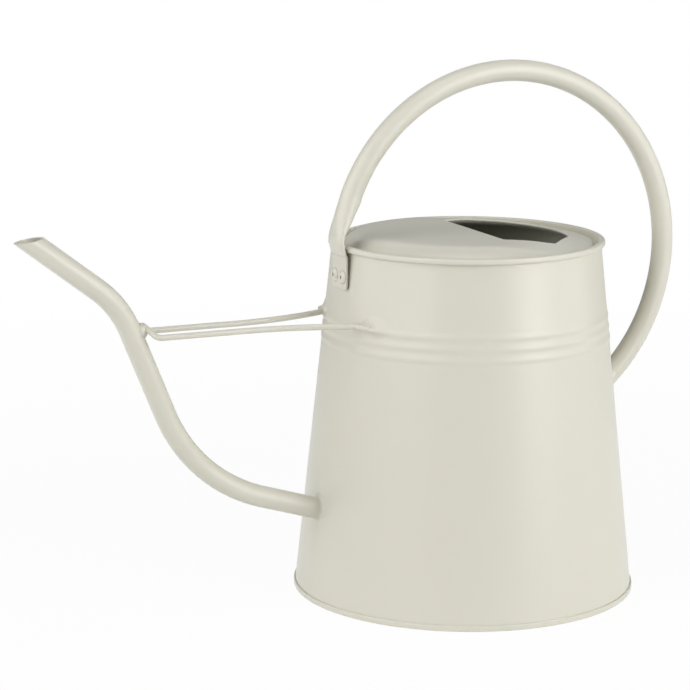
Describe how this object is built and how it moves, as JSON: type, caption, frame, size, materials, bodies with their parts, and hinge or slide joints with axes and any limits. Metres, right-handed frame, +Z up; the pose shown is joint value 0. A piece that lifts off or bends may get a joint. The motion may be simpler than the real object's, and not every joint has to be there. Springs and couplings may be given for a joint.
{
  "type": "watering can",
  "caption": "Tapered sheet-metal watering can with ribbed wall, domed lid with a filling mouth, bent tube spout with a wire stay, and a tube bow handle",
  "frame": {"origin": "centre of the base seam's underside, on the floor that the can stands on", "axes": "+Z up along the body's axis, -X towards the spout, +X towards the back of the handle, Y across"},
  "size_m": [0.4216, 0.2056, 0.3168],
  "materials": {
    "powder_coat": "satin",
    "stem_steel": "dull"
  },
  "bodies": {
    "root": {"body_shell": "powder_coat", "base_plate": "powder_coat", "lid": "powder_coat", "spout_tube": "powder_coat", "spout_weld": "powder_coat", "handle_tube": "powder_coat", "front_rivets": "powder_coat", "rear_rivets": "powder_coat", "stay_wire": "powder_coat", "stay_foot_weld_left": "powder_coat", "stay_foot_weld_right": "powder_coat", "stay_neck_weld": "powder_coat", "front_rivet_mandrels": "stem_steel", "rear_rivet_mandrels": "stem_steel"}
  },
  "joints": []
}
